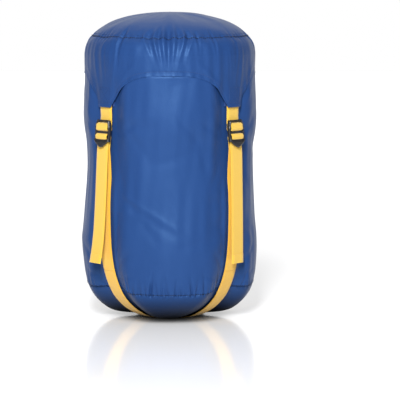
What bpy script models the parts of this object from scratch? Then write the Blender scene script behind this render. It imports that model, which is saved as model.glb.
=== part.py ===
"""A packed compression sack, standing on its bottom.

A nylon tube with a sewn bottom panel holds a soft load. Its top is gathered over
the load by a drawcord with a cord lock. A lid with a scalloped skirt covers the
gather. Each of the lid's four tabs carries a ladder lock, and two long straps
that cross under the bottom run up into the locks and come out as four free tails.

Sizes are in millimetres, and the meshes are made in metres. +Z is up, the origin
is the middle of the footprint, and the front is -Y.
"""
import math

import bmesh
import bpy
from mathutils import Matrix, Vector

MM = 0.001

# Driving dimensions
HEIGHT = 357.0
GAP = 0.3
CLOTH = 1.0
WEB_WIDTH = 20.0
WEB = 1.3

# The side wall's outside, as (height, radius) from the bottom seam to the shoulder
WALL = [(40, 98), (52, 99.8), (66, 100.3), (94, 100.6), (123, 98.4), (152, 97.2), (195, 96.8), (209, 97.6),
        (223, 99.5), (238, 100.5), (252, 100.2), (267, 99.6), (281, 99.2), (296, 99.6), (309, 99.6)]
BOTTOM_SEAM = 40.0
SHOULDER = [(98.4, 316.5), (95.8, 323.3), (90.6, 330)]
LID_DOME = [(90.1, 330.5), (82, 337.6), (68.5, 345), (54, 349.8), (37, 353.4), (18, 356.2), (0, HEIGHT)]

# The bottom panel's outside as (radius, height), midway between two straps and under a strap,
# and the tube's outside just above its seam where a strap pulls it in, as (height, radius)
PANEL_FREE = [(0, 3.2), (17, 3.2), (21, 1.6), (50, 1.6), (61, 3.6), (71, 8), (80, 14.2), (88, 22), (93.4, 30),
              (97, 39)]
PANEL_HELD = [(0, 3.2), (17, 3.2), (21, 1.6), (31, 1.6), (40, 3.9), (51, 8.9), (61, 15), (69.5, 22.2),
              (77, 30.4), (82.4, 39)]
HELD_WALL = [(40, 83), (50, 87.6), (62, 91.6), (76, 94.6), (94, 96.6), (112, 97.4), (130, 97.8)]

# The skirt's lower edge: four tabs with arches between them
TAB_EDGE = 249.5
ARCH_EDGE = 286.0
TAB_HALF_ANGLE = 5.6
ARCH_POWER = 3.5

# The tabs are 98 degrees apart across the front and the back, and 82 degrees across the sides
TAB_ANGLES = {"front_right": -41, "back_right": 41, "back_left": 139, "front_left": 221}
EVENING = 4.0 / math.sin(math.radians(82))

# The tube is pressed in behind each tab and lock
RECESS_RADIUS = 93.3
RECESS_LOW = 198.0
TUBE_TOP = 291.0
MOUTH_START = TUBE_TOP + GAP
PATCH_TOP = 280.0

# Ladder locks hang from their tabs, lower ends leaning out
HINGE_RADIUS = 95.9
HINGE_HEIGHT = 235.5
LOCK_LEAN = math.radians(6)
LOCK_WIDTH = 25.2
RAIL = 2.2
LOCK_BACK = 1.7
LOCK_FRONT = 4.7
TAIL_DEPTH = 1.9
TAIL_DROP = 33.6
TAIL_LEAN = math.radians(4.4)
TAIL_LENGTH = 132.0
HEM_LENGTH = 10.0

# Drawcord, channel and cord lock under the lid
CORD_RADIUS = 1.3
CORD_SPREAD = 1.7
CORD_RING = 14.1
CORD_HEIGHT = 339.0
CORD_SLOPE = 0.14
CORD_END = 60.0
LOCK_AT = 33.0

# Azimuth steps from each tab's middle, closer together where the tab's edges are
STEPS = (-45, -36, -28, -20.5, -14, -9, -6, 0, 6, 9, 14, 20.5, 28, 36)


# --- numbers -----------------------------------------------------------------

def smooth(low, high, value):
    """0 below low, 1 above high, and a soft rise between them."""
    share = min(1.0, max(0.0, (value - low) / (high - low)))
    return share * share * (3 - 2 * share)


def value_at(points, place):
    """Height of a smooth curve through (place, value) points."""
    if place <= points[0][0]:
        return points[0][1]
    for index in range(len(points) - 1):
        (x0, y0), (x1, y1) = points[index], points[index + 1]
        if place <= x1:
            before = points[max(index - 1, 0)]
            after = points[min(index + 2, len(points) - 1)]
            rise0 = (y1 - before[1]) / (x1 - before[0]) * (x1 - x0)
            rise1 = (after[1] - y0) / (after[0] - x0) * (x1 - x0)
            t = (place - x0) / (x1 - x0)
            return (y0 * (2 * t**3 - 3 * t**2 + 1) + rise0 * (t**3 - 2 * t**2 + t)
                    + y1 * (3 * t**2 - 2 * t**3) + rise1 * (t**3 - t**2))
    return points[-1][1]


def wall(height):
    """Outside radius of the side wall."""
    return value_at(WALL, height)


def from_tab(azimuth):
    """Degrees from the middle of the nearest tab, evened out so that half-way to the next is 45."""
    return abs((azimuth + EVENING * math.sin(math.radians(2 * azimuth))) % 90 - 45)


def skirt_edge(azimuth):
    """Height of the skirt's lower edge."""
    off = from_tab(azimuth)
    if off <= TAB_HALF_ANGLE + 0.5:
        return TAB_EDGE
    along = (off - TAB_HALF_ANGLE) / (45 - TAB_HALF_ANGLE)
    return ARCH_EDGE - (ARCH_EDGE - TAB_EDGE) * (1 - along) ** ARCH_POWER


def offset(points, distance):
    """The open line moved sideways: to the right of its direction when distance is positive."""
    moved = []
    for index, (x, z) in enumerate(points):
        sides = []
        for first, second in ((index - 1, index), (index, index + 1)):
            if first >= 0 and second < len(points):
                along = Vector((points[second][0] - points[first][0], points[second][1] - points[first][1]))
                sides.append(Vector((along.y, -along.x)).normalized())
        middle = sum(sides, Vector((0, 0))).normalized()
        reach = distance / max(0.5, middle.dot(sides[0]))
        moved.append((x + middle.x * reach, z + middle.y * reach))
    return moved


# --- meshes ------------------------------------------------------------------

def new_object(name, bm, material, parent=None):
    """Turn a bmesh in millimetres into a named object in metres."""
    bmesh.ops.recalc_face_normals(bm, faces=bm.faces[:])
    bmesh.ops.scale(bm, vec=(MM, MM, MM), verts=bm.verts[:])
    mesh = bpy.data.meshes.new(name)
    bm.to_mesh(mesh)
    bm.free()
    mesh.materials.append(material)
    piece = bpy.data.objects.new(name, mesh)
    bpy.context.scene.collection.objects.link(piece)
    piece.parent = parent
    return piece


def smooth_shaded(piece, angle=40):
    """Round pieces shade smoothly, with their corners kept."""
    piece.data.shade_smooth()
    piece.data.set_sharp_from_angle(angle=math.radians(angle))
    return piece


def new_empty(name, location, rotation=None, parent=None):
    """An empty that marks a joint; location in millimetres."""
    empty = bpy.data.objects.new(name, None)
    empty.empty_display_size = 0.01
    bpy.context.scene.collection.objects.link(empty)
    empty.parent = parent
    empty.matrix_local = Matrix.Translation(Vector(location) * MM) @ (rotation or Matrix.Identity(4))
    return empty


def around(outline_at, azimuths):
    """A round body: outline_at(azimuth) gives its section as (radius, height) points.

    A section that starts and ends on the axis makes a solid or a dome, and any other
    section is closed on itself and makes a ring.
    """
    bm = bmesh.new()
    sections = [outline_at(azimuth) for azimuth in azimuths]
    domed = sections[0][0][0] == 0
    poles = [bm.verts.new((0, 0, sections[0][end][1])) for end in (0, -1)] if domed else []
    columns = []
    for azimuth, section in zip(azimuths, sections):
        turn = math.radians(azimuth)
        points = section[1:-1] if domed else section
        columns.append([bm.verts.new((r * math.cos(turn), r * math.sin(turn), z)) for r, z in points])
    for left, right in zip(columns, columns[1:] + columns[:1]):
        count = len(left)
        for index in range(count - 1 if domed else count):
            after = (index + 1) % count
            bm.faces.new((left[index], right[index], right[after], left[after]))
        if domed:
            bm.faces.new((poles[0], right[0], left[0]))
            bm.faces.new((poles[1], left[-1], right[-1]))
    return bm


def even_azimuths(count):
    """Evenly spaced azimuths in degrees."""
    return [360 * index / count for index in range(count)]


def tab_azimuths():
    """Azimuths in degrees, packed closer beside the tabs."""
    azimuths = []
    for quarter in range(-1, 3):
        for step in STEPS:
            even = azimuth = 90 * quarter + 45 + step
            for _ in range(8):
                azimuth = even - EVENING * math.sin(math.radians(2 * azimuth))
            azimuths.append(azimuth)
    return azimuths


def shell(line, thickness):
    """Closed section of a shell: its outside line, and the same line moved in."""
    return line + offset(line, -thickness)[::-1]


def strip(path, thickness=WEB, width=WEB_WIDTH):
    """Webbing laid along a path of (x, z) points, with its width along Y."""
    bm = bmesh.new()
    outline = offset(path, thickness / 2) + offset(path, -thickness / 2)[::-1]
    sides = [[bm.verts.new((x, y, z)) for x, z in outline] for y in (-width / 2, width / 2)]
    count = len(outline)
    half = len(path)
    for index in range(count):
        after = (index + 1) % count
        bm.faces.new((sides[0][index], sides[0][after], sides[1][after], sides[1][index]))
    for side in sides:
        for index in range(half - 1):
            bm.faces.new((side[index], side[index + 1], side[count - 2 - index], side[count - 1 - index]))
    return bm


def prism(outline, low, high):
    """A flat outline of (x, z) points, extruded along Y."""
    bm = bmesh.new()
    ends = [[bm.verts.new((x, y, z)) for x, z in outline] for y in (low, high)]
    for end in ends:
        bm.faces.new(end)
    for index in range(len(outline)):
        after = (index + 1) % len(outline)
        bm.faces.new((ends[0][index], ends[0][after], ends[1][after], ends[1][index]))
    return bm


def box_mesh(low, high):
    """A block between two corners."""
    (x0, y0, z0), (x1, y1, z1) = low, high
    return prism([(x0, z0), (x1, z0), (x1, z1), (x0, z1)], y0, y1)


def rod_mesh(radius, low, high, segments=24):
    """A round bar along X."""
    bm = bmesh.new()
    turn = Matrix.Translation(((low + high) / 2, 0, 0)) @ Matrix.Rotation(math.pi / 2, 4, "Y")
    bmesh.ops.create_cone(bm, cap_ends=True, segments=segments, radius1=radius, radius2=radius,
                          depth=high - low, matrix=turn)
    return bm


def combine(target, tool, operation):
    """Cut the tool from the target, or join it to the target."""
    change = target.modifiers.new(operation.title(), "BOOLEAN")
    change.operation = operation
    change.solver = "EXACT"
    change.object = tool
    tool.hide_render = True
    tool.display_type = "WIRE"


# --- materials ---------------------------------------------------------------

def new_material(name, colour, roughness, metallic=0.0):
    """One plain Principled material."""
    material = bpy.data.materials.new(name)
    material.use_nodes = True
    shader = material.node_tree.nodes["Principled BSDF"]
    shader.inputs["Base Color"].default_value = (*colour, 1)
    shader.inputs["Roughness"].default_value = roughness
    shader.inputs["Metallic"].default_value = metallic
    return material


def make_materials():
    """Every material of the sack, by name."""
    return {
        "nylon": new_material("nylon", (0.05, 0.11, 0.33), 0.45),
        "webbing": new_material("webbing", (0.93, 0.58, 0.09), 0.75),
        "plastic": new_material("plastic", (0.02, 0.02, 0.022), 0.4),
        "cord": new_material("cord", (0.03, 0.03, 0.035), 0.8),
        "steel": new_material("steel", (0.55, 0.55, 0.56), 0.35, 1.0),
        "load": new_material("load", (0.28, 0.29, 0.32), 0.9),
    }


# --- the sack ----------------------------------------------------------------

def held_low(azimuth, radius):
    """How much a strap pulls in the bottom of the sack there, 0 to 1."""
    return 1 - smooth(WEB_WIDTH / 2 + 2, 42, radius * math.sin(math.radians(from_tab(azimuth))))


def panel_line(azimuth):
    """The bottom panel's outside, rounder under the straps than between them."""
    line = []
    for free, held in zip(PANEL_FREE, PANEL_HELD):
        share = held_low(azimuth, held[0])
        line.append((free[0] + (held[0] - free[0]) * share, free[1] + (held[1] - free[1]) * share))
    return line


def tube_radius(azimuth, height):
    """The tube's outside: full between the straps, pressed in behind them and under the skirt."""
    edge = skirt_edge(azimuth)
    hidden = edge + 0.75 * (TUBE_TOP - edge)
    radius = wall(height) - 2.3 * smooth(edge - 14, edge - 2, height)
    if height < HELD_WALL[-1][0]:
        radius += (min(radius, value_at(HELD_WALL, height)) - radius) * held_low(azimuth, radius)
    pressed = (1 - smooth(9, 14, from_tab(azimuth))) * smooth(150, RECESS_LOW, height)
    pressed *= 1 - smooth(hidden, TUBE_TOP, height)
    return radius + (min(radius, RECESS_RADIUS) - radius) * pressed


def tube_heights(azimuth):
    """Heights of the tube's rings, closer together where its outline bends."""
    edge = skirt_edge(azimuth)
    return [BOTTOM_SEAM, 49, 60, 76, 96, 125, 152, RECESS_LOW, 210, 222, (200 + edge) / 2, edge - 22, edge - 11,
            edge - 1.5, edge + 0.75 * (TUBE_TOP - edge), TUBE_TOP]


LOAD_TOP = [(90.6, 296.5), (87, 305.5), (80, 313), (69, 318.4), (50, 322.8), (33, 325.2), (0, 327.3)]


def make_sack(materials):
    """Bottom panel, tube, their seam tape and the load."""

    def panel_section(azimuth):
        line = panel_line(azimuth)
        return line + offset(line[1:], -1.2)[::-1] + [(0, line[0][1] + 1.2)]

    smooth_shaded(new_object("bottom_panel", around(panel_section, tab_azimuths()), materials["nylon"]))

    def tape_section(azimuth):
        low, high = [(tube_radius(azimuth, height) - CLOTH - 3 * GAP, height) for height in tube_heights(azimuth)[:2]]
        outside = [(low[0] + (high[0] - low[0]) * share, low[1] + (high[1] - low[1]) * share)
                   for share in (0.1, 0.8)]
        return outside + [(radius - 0.6, height) for radius, height in outside[::-1]]

    smooth_shaded(new_object("bottom_seam_tape", around(tape_section, tab_azimuths()), materials["nylon"]))

    def tube_section(azimuth):
        line = [(tube_radius(azimuth, height), height) for height in tube_heights(azimuth)]
        return line + [(radius - CLOTH, height) for radius, height in line[::-1]]

    smooth_shaded(new_object("sack_tube", around(tube_section, tab_azimuths()), materials["nylon"]))

    def load_section(azimuth):
        inside = offset(panel_line(azimuth)[2:], -3.2)
        side = [(tube_radius(azimuth, height) - 3.4, height) for height in (50, 62, 80, 110, 150, 200, 240, 284)]
        return [(0, inside[0][1])] + inside + side + LOAD_TOP

    smooth_shaded(new_object("packed_load", around(load_section, tab_azimuths()), materials["load"]))


STRAP_TOP = 60.0


def strap_path(side):
    """Half of a strap under the bottom, from the seam's outside in to the flat: (distance out, height)."""
    line = PANEL_HELD[3:] + [(value_at(HELD_WALL, height) + GAP, height) for height in (41, 46, 53, STRAP_TOP)]
    return [(side * r, z) for r, z in offset(line, GAP + WEB / 2)]


def make_bottom_straps(materials):
    """Two straps that cross under the bottom. The second steps over the first."""
    for name, angle, crossing in (("bottom_strap_a", TAB_ANGLES["back_right"], []),
                                  ("bottom_strap_b", TAB_ANGLES["front_right"],
                                   [(16, 0), (12.2, WEB + GAP), (-12.2, WEB + GAP), (-16, 0)])):
        middle = [(x, WEB / 2 + lift) for x, lift in crossing]
        path = strap_path(1)[::-1] + middle + strap_path(-1)
        piece = new_object(name, strip(path), materials["webbing"])
        piece.rotation_euler.z = math.radians(angle)


def make_strap_runs(materials):
    """The taut straps up the side, from the bottom straps to the ladder locks."""
    foot = math.sin(LOCK_LEAN) * TAIL_DROP - 0.6 * math.cos(LOCK_LEAN)
    top = (HINGE_RADIUS + foot, HINGE_HEIGHT - TAIL_DROP * math.cos(LOCK_LEAN) - GAP)
    heights = [STRAP_TOP + GAP, 66, 74, 84, 94, 110, 130, 152]
    path = [(tube_radius(TAB_ANGLES["back_right"], height) + 2 * GAP + WEB / 2, height) for height in heights] + [(96.9, 170), top]
    for corner, angle in TAB_ANGLES.items():
        piece = new_object("strap_run_" + corner, strip(path), materials["webbing"])
        piece.rotation_euler.z = math.radians(angle)


# --- the gathered mouth ------------------------------------------------------

def make_mouth(materials):
    """The gathered top of the tube and its cord channel with an eyelet."""
    gather = [(96.2, MOUTH_START), (95.2, 300.5), (91.4, 309.5), (84, 316.8), (70, 322.4), (50, 326),
              (33, 328.3), (20.5, 329.6), (17, 333.2)]
    smooth_shaded(new_object("mouth_gather", around(lambda _: shell(gather, CLOTH), even_azimuths(36)),
                             materials["nylon"]))
    low, high = CORD_HEIGHT - 5.5, CORD_HEIGHT + 5.5
    hollow = [(11.5, low + 0.9), (16.7, low + 0.9), (17.5, low + 2.5), (17.5, high - 2.5), (16.7, high - 0.9),
              (11.5, high - 0.9), (10.7, high - 2.5), (10.7, low + 2.5)]
    skin = [(11, low), (17.2, low), (18.4, low + 2.2), (18.4, high - 2.2), (17.2, high), (11, high),
            (9.8, high - 2.2), (9.8, low + 2.2)]
    channel = around(lambda _: skin, even_azimuths(24))
    inside = around(lambda _: hollow, even_azimuths(24))
    drawn = new_object("drawcord_channel", channel, materials["nylon"])
    combine(drawn, new_object("cut_channel_inside", inside, materials["nylon"]), "DIFFERENCE")
    hole = rod_mesh(3.6, 15, 22, 16)
    bmesh.ops.transform(hole, matrix=Matrix.Translation((0, 0, CORD_HEIGHT)) @ Matrix.Rotation(-math.pi / 2, 4, "Z"),
                        verts=hole.verts[:])
    combine(drawn, new_object("cut_channel_hole", hole, materials["nylon"]), "DIFFERENCE")
    ring = [(3.5, -0.6), (5.2, -0.6), (5.2, 0.6), (3.5, 0.6)]
    eyelet = smooth_shaded(new_object("drawcord_eyelet", around(lambda _: ring, even_azimuths(20)),
                                      materials["steel"]))
    eyelet.location = (0, -19.4 * MM, CORD_HEIGHT * MM)
    eyelet.rotation_euler.x = math.pi / 2


def cord_height(distance):
    """Height of the cord's ends, which slope down away from the channel."""
    return CORD_HEIGHT - CORD_SLOPE * max(0.0, distance - 19)


def make_drawcord(materials):
    """One cord: in through the eyelet, round the channel and out again, both ends in one knot."""
    entry = [(CORD_SPREAD, -distance, cord_height(distance)) for distance in (CORD_END, 50, 40, 30, 20, 17.6)]
    entry += [(2.3, -15.4, CORD_HEIGHT), (3.7, -14.1, CORD_HEIGHT)]
    turns = [math.radians(-68 + 316 * index / 32) for index in range(33)]
    ring = [(CORD_RING * math.cos(turn), CORD_RING * math.sin(turn), CORD_HEIGHT) for turn in turns]
    route = entry + ring + [(-x, y, z) for x, y, z in entry[::-1]]
    curve = bpy.data.curves.new("drawcord", "CURVE")
    curve.dimensions = "3D"
    curve.bevel_depth = CORD_RADIUS * MM
    curve.bevel_resolution = 2
    curve.use_fill_caps = True
    spline = curve.splines.new("POLY")
    spline.points.add(len(route) - 1)
    for point, place in zip(spline.points, route):
        point.co = (*(Vector(place) * MM), 1)
    curve.materials.append(materials["cord"])
    cord = bpy.data.objects.new("drawcord", curve)
    bpy.context.scene.collection.objects.link(cord)
    knot = bmesh.new()
    bmesh.ops.create_uvsphere(knot, u_segments=12, v_segments=8, radius=1)
    bmesh.ops.scale(knot, vec=(5, 4, 3.6), verts=knot.verts[:])
    piece = smooth_shaded(new_object("drawcord_knot", knot, materials["cord"]))
    far = CORD_END + 4.3
    piece.location = Vector((0, -far, cord_height(far))) * MM


def make_cord_lock(materials):
    """A barrel that slides on the cord, with a sprung button that frees it."""
    slope = Matrix.Rotation(math.atan(CORD_SLOPE), 4, "X")
    slide = new_empty("cord_lock_slide", (0, -LOCK_AT, cord_height(LOCK_AT)), slope)
    body = new_object("cord_lock_body", rod_mesh(6.3, -12.8, 7), materials["plastic"], slide)
    cut = new_object("cut_lock_bore", rod_mesh(4.9, -11.4, 9), materials["plastic"], slide)
    combine(body, cut, "DIFFERENCE")
    slot = new_object("cut_lock_slot", box_mesh((-3.5, -9, -1.8), (3.5, 9, 1.8)), materials["plastic"], slide)
    combine(body, slot, "DIFFERENCE")
    press = new_empty("cord_button_press", (0, 0, 0), parent=slide)
    button = new_object("cord_lock_button", rod_mesh(4.5, -4.6, 12, 20), materials["plastic"], press)
    window = new_object("cut_button_slot", box_mesh((-3.3, -9, -1.8), (7, 9, 1.8)), materials["plastic"], press)
    combine(button, window, "DIFFERENCE")
    coils = 3
    steps = 12 * coils
    low, high, wire = -10.7, -5.4, 0.4
    curve = bpy.data.curves.new("cord_lock_spring", "CURVE")
    curve.dimensions = "3D"
    curve.bevel_depth = wire * MM
    curve.bevel_resolution = 1
    curve.use_fill_caps = True
    spline = curve.splines.new("POLY")
    spline.points.add(steps)
    for index in range(steps + 1):
        turn = 2 * math.pi * coils * index / steps
        place = (low + (high - low) * index / steps, 3.4 * math.cos(turn), 3.4 * math.sin(turn))
        spline.points[index].co = (*(Vector(place) * MM), 1)
    curve.materials.append(materials["steel"])
    spring = bpy.data.objects.new("cord_lock_spring", curve)
    bpy.context.scene.collection.objects.link(spring)
    spring.parent = slide


# --- the lid -----------------------------------------------------------------

def skirt_line(azimuth):
    """The skirt's outside, from its scalloped edge up over the shoulder to the seam."""
    edge = skirt_edge(azimuth)
    top = WALL[-1][0]
    heights = [edge + (top - edge) * share for share in (0, 0.35, 0.7, 1)]
    return [(wall(height), height) for height in heights] + SHOULDER


def make_lid(materials):
    """Domed top, scalloped skirt, seam tape and hem tape."""
    dome = LID_DOME[::-1] + offset(LID_DOME[:-1], -1.2) + [(0, HEIGHT - 1.2)]
    smooth_shaded(new_object("lid_top", around(lambda _: dome, tab_azimuths()), materials["nylon"]))
    smooth_shaded(new_object("lid_skirt", around(lambda azimuth: shell(skirt_line(azimuth), CLOTH),
                                                 tab_azimuths()), materials["nylon"]))
    seam = offset([(96.9, 320.4), SHOULDER[1], (92.6, 327.4)], -(CLOTH + GAP))
    smooth_shaded(new_object("lid_seam_tape", around(lambda _: shell(seam, 0.6), tab_azimuths()),
                             materials["nylon"]))

    def hem_section(azimuth):
        low, high = skirt_edge(azimuth) + 0.8, skirt_edge(azimuth) + 8
        outside = [(wall(low) - 1.3, low), (wall(high) - 1.3, high)]
        return outside + [(radius - 0.6, height) for radius, height in outside[::-1]]

    smooth_shaded(new_object("lid_hem_tape", around(hem_section, tab_azimuths()), materials["nylon"]))


def make_tab(corner, angle, materials):
    """A tab's folded webbing and the patch that is sewn behind it."""
    turn = math.radians(angle)
    path = [(HINGE_RADIUS, height) for height in (HINGE_HEIGHT + 1.5, TAB_EDGE, PATCH_TOP - 2)]
    webbing = new_object("tab_strap_" + corner, strip(path, 2 * WEB), materials["webbing"])
    webbing.rotation_euler.z = turn
    bm = bmesh.new()
    layers = []
    for radius in (RECESS_RADIUS + GAP, RECESS_RADIUS + GAP + 0.7):
        for height in (TAB_EDGE + 1, PATCH_TOP):
            layers.append([bm.verts.new((radius * math.cos(math.radians(step)),
                                         radius * math.sin(math.radians(step)), height))
                           for step in (-7.2, -3.6, 0, 3.6, 7.2)])
    inner_low, inner_high, outer_low, outer_high = layers
    for first, second in ((inner_low, inner_high), (inner_high, outer_high), (outer_high, outer_low),
                          (outer_low, inner_low)):
        for index in range(4):
            bm.faces.new((first[index], first[index + 1], second[index + 1], second[index]))
    for end in (0, -1):
        bm.faces.new([layer[end] for layer in (inner_low, inner_high, outer_high, outer_low)])
    patch = new_object("tab_patch_" + corner, bm, materials["nylon"])
    patch.rotation_euler.z = turn


# --- ladder locks and tails --------------------------------------------------

# Bars and slots down the lock, as distances below its hinge
LOCK_BARS = ((0.8, 2.9), (6.9, 11.6), (14.6, 16.0), (18.8, 21.9))
RAIL_END = 28.5


def frame_mesh():
    """The lock's flat frame: two rails with four bars between them."""
    half = LOCK_WIDTH / 2
    across = (-half, RAIL - half, half - RAIL, half)
    down = [edge for bar in LOCK_BARS for edge in bar] + [RAIL_END]
    bm = bmesh.new()
    grid = [[[bm.verts.new((x, y, -z)) for z in down] for y in across] for x in (LOCK_BACK, LOCK_FRONT)]

    def solid(column, row):
        return 0 <= row < len(down) - 1 and 0 <= column < 3 and (column != 1 or row % 2 == 0)

    for column in range(3):
        for row in range(len(down) - 1):
            if not solid(column, row):
                continue
            for layer in grid:
                bm.faces.new((layer[column][row], layer[column + 1][row], layer[column + 1][row + 1],
                              layer[column][row + 1]))
            edges = {(column - 1, row): ((column, row), (column, row + 1)),
                     (column + 1, row): ((column + 1, row), (column + 1, row + 1)),
                     (column, row - 1): ((column, row), (column + 1, row)),
                     (column, row + 1): ((column, row + 1), (column + 1, row + 1))}
            for neighbour, (start, end) in edges.items():
                if not solid(*neighbour):
                    back, front = grid
                    bm.faces.new((back[start[0]][start[1]], back[end[0]][end[1]],
                                  front[end[0]][end[1]], front[start[0]][start[1]]))
    return bm


def thumb_mesh():
    """The thumb tab under the bars: wedge-shaped from the side, and narrower towards its tip."""
    half = LOCK_WIDTH / 2
    side = [(3.1, -26.3), (5.4, -25.2), (7.0, -27.6), (7.6, -32.3), (6.3, -32.3), (3.1, -30.4)]
    across = ((-half, 2.6), (-half * 0.6, 0.6), (0, 0), (half * 0.6, 0.6), (half, 2.6))
    bm = bmesh.new()
    rows = []
    for y, shorter in across:
        rows.append([bm.verts.new((x, y, max(z, -32.3 + shorter) if z < -31 else z)) for x, z in side])
    for left, right in zip(rows, rows[1:]):
        for index in range(len(side)):
            after = (index + 1) % len(side)
            bm.faces.new((left[index], left[after], right[after], right[index]))
    bm.faces.new(rows[0])
    bm.faces.new(rows[-1])
    return bm


def make_lock(corner, angle, materials):
    """A ladder lock on its tab's webbing, with the strap's turn round its lower bar."""
    turn = Matrix.Rotation(math.radians(angle), 4, "Z")
    place = turn @ Vector((HINGE_RADIUS, 0, HINGE_HEIGHT))
    hinge = new_empty("buckle_tilt_" + corner, place, turn @ Matrix.Rotation(-LOCK_LEAN, 4, "Y"))
    frame = new_object("ladder_lock_" + corner, frame_mesh(), materials["plastic"], hinge)
    combine(frame, new_object("join_thumb_" + corner, thumb_mesh(), materials["plastic"], hinge), "UNION")

    layer = WEB / 2 + 0.1
    wrap = [(layer, -0.3), (layer, -3.1), (2.4, -4.5), (4.8, -5.2), (5.6, -6.4), (5.6, -11.6), (4.8, -12.8),
            (2.6, -13.2), (0.4, -13.2), (-layer, -12.2), (-layer, -0.3)]
    new_object("tab_wrap_" + corner, strip(wrap), materials["webbing"], hinge)
    loop = [(-0.6, -TAIL_DROP), (-0.6, -18.6), (0.1, -17.4), (2.2, -17.0), (4.7, -17.3), (5.6, -18.5),
            (5.6, -21.6), (4.8, -23.2), (2.7, -24.2), (TAIL_DEPTH, -25.6), (TAIL_DEPTH, -TAIL_DROP)]
    new_object("strap_loop_" + corner, strip(loop), materials["webbing"], hinge)


def make_tail(corner, angle, materials):
    """The free end of the strap, with its folded hem."""
    turn = Matrix.Rotation(math.radians(angle), 4, "Z")
    out = HINGE_RADIUS + TAIL_DEPTH * math.cos(LOCK_LEAN) + TAIL_DROP * math.sin(LOCK_LEAN)
    up = HINGE_HEIGHT + TAIL_DEPTH * math.sin(LOCK_LEAN) - TAIL_DROP * math.cos(LOCK_LEAN)
    swing = new_empty("tail_swing_" + corner, turn @ Vector((out, 0, up)),
                      turn @ Matrix.Rotation(-TAIL_LEAN, 4, "Y"))
    webbing_end = HEM_LENGTH - TAIL_LENGTH
    path = [(0, -0.5 - WEB / 2), (0, webbing_end / 2), (0, webbing_end + GAP)]
    new_object("strap_tail_" + corner, strip(path), materials["webbing"], swing)
    feed = new_empty("tail_feed_" + corner, (0, 0, webbing_end), parent=swing)
    fold = [(0, 0), (0, -HEM_LENGTH / 2), (0, -HEM_LENGTH)]
    new_object("strap_hem_" + corner, strip(fold, 2 * WEB + 0.2), materials["webbing"], feed)


def main():
    """Build the whole sack."""
    for piece in list(bpy.data.objects):
        bpy.data.objects.remove(piece, do_unlink=True)
    materials = make_materials()
    make_sack(materials)
    make_bottom_straps(materials)
    make_strap_runs(materials)
    make_mouth(materials)
    make_drawcord(materials)
    make_cord_lock(materials)
    make_lid(materials)
    for corner, angle in TAB_ANGLES.items():
        make_tab(corner, angle, materials)
        make_lock(corner, angle, materials)
        make_tail(corner, angle, materials)


main()
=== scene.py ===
"""The compression sack's looks: cloth, webbing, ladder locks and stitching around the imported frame.

Shapes are worked out in millimetres and made in metres. Azimuths are in degrees from +X, so the
front, -Y, is at -90, and the four straps are at 41, 139, 221 and 319.
"""
import math
from contextlib import contextmanager

import bmesh
import bpy
import numpy as np
from mathutils import Matrix, Vector


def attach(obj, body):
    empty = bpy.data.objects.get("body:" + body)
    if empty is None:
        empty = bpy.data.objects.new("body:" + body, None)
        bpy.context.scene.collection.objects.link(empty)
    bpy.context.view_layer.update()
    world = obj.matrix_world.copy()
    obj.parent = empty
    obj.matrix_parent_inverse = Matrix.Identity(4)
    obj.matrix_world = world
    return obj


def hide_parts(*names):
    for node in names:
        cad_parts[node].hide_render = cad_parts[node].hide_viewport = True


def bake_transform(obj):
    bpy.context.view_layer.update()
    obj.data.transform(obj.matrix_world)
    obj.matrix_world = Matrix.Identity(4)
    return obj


MM = 0.001
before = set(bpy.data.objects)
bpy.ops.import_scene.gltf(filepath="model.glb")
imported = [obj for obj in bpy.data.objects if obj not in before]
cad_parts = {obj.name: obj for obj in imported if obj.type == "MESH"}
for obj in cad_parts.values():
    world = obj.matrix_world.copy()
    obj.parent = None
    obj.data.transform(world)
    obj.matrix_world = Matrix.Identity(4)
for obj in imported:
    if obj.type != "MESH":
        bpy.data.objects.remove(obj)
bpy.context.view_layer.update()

CORNERS = {"front_right": -41, "back_right": 41, "back_left": 139, "front_left": 221}
EVENING = 4.0 / math.sin(math.radians(82))

# The sack's outside, in millimetres: the wall as (height, radius), the rest as (radius, height)
WALL = [(40, 98), (52, 99.8), (66, 100.3), (94, 100.6), (123, 98.4), (152, 97.2), (195, 96.8), (209, 97.6),
        (223, 99.5), (238, 100.5), (252, 100.2), (267, 99.6), (281, 99.2), (296, 99.6), (309, 99.6)]
SHOULDER = [(99.6, 309), (98.4, 316.5), (95.8, 323.3), (90.6, 330)]
DOME = [(90.6, 330), (82, 337.6), (68.5, 345), (54, 349.8), (37, 353.4), (18, 356.2), (0, 357)]

# The bottom midway between two straps, under a strap, and the tube above it under a strap
PANEL_FREE = [(0, 3.2), (17, 3.2), (21, 0.8), (44, 0.9), (60, 3.6), (71, 8), (80, 14.2), (88, 22), (93.4, 30),
              (98, 40)]
PANEL_HELD = [(0, 3.2), (17, 3.2), (21, 1.6), (31, 1.6), (40, 3.9), (51, 8.9), (61, 15), (69.5, 22.2),
              (77, 30.4), (83, 40)]
HELD_WALL = [(40, 83), (50, 87.6), (62, 91.6), (76, 94.6), (94, 96.6), (112, 97.4), (130, 97.8)]
SEAM_LOW = 40.0
TAB_EDGE = 249.5
ARCH_EDGE = 286.0
TAB_HALF_ANGLE = 6.3
ARCH_POWER = 3.5
TUBE_TOP = 295.0
RECESS = 93.3
WEB_WIDTH = 20.0
WEB = 1.3

HINGE_RADIUS = 95.9
HINGE_HEIGHT = 235.5
LOCK_LEAN = math.radians(6)
TAIL_DEPTH = 1.9
TAIL_DROP = 33.6
TAIL_LEAN = math.radians(4.4)
TAIL_LENGTH = 132.0
HEM_LENGTH = 10.0
RUN_SPLIT = 152.0
STRAP_TOP = 60.0
RISE = 104.5
# The tube's cloth follows the mouth between these heights
SLIDE_LOW, SLIDE_HIGH = 62, 268

AROUND = np.arange(0, 360, 0.5)
WALL_RADIUS = 98
CLOTH = 0.5
HEMMED_CLOTH = 0.9
MIDDLE = Vector((0, 0, 0.17))


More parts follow.
